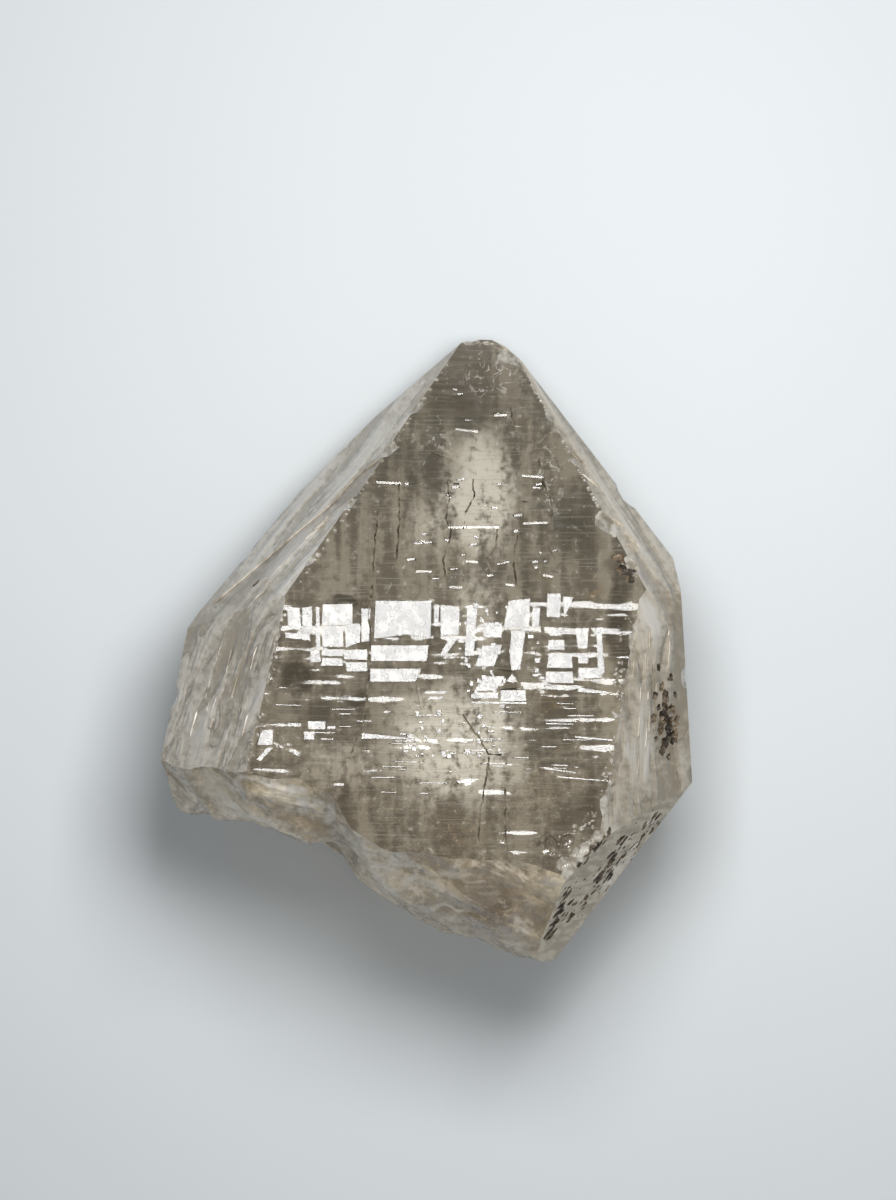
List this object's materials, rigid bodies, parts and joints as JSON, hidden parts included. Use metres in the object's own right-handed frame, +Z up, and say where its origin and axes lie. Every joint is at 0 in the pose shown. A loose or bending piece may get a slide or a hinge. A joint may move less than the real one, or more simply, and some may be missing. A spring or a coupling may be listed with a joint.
{
  "type": "quartz point",
  "caption": "Broken-off smoky quartz crystal with a pointed tip, stepped growth plates on its front window, a pitted lower face and a conchoidal broken base.",
  "frame": {"origin": "on the surface it rests on, under the middle of its box", "axes": "+X to the right and +Y to the tip as the front window is looked down on, +Z up through the front window"},
  "size_m": [0.057, 0.067, 0.042],
  "materials": {
    "quartz": "clear smoky crystal with frosted and waxy faces"
  },
  "bodies": {
    "root": {"quartz_point": "quartz"}
  },
  "joints": []
}
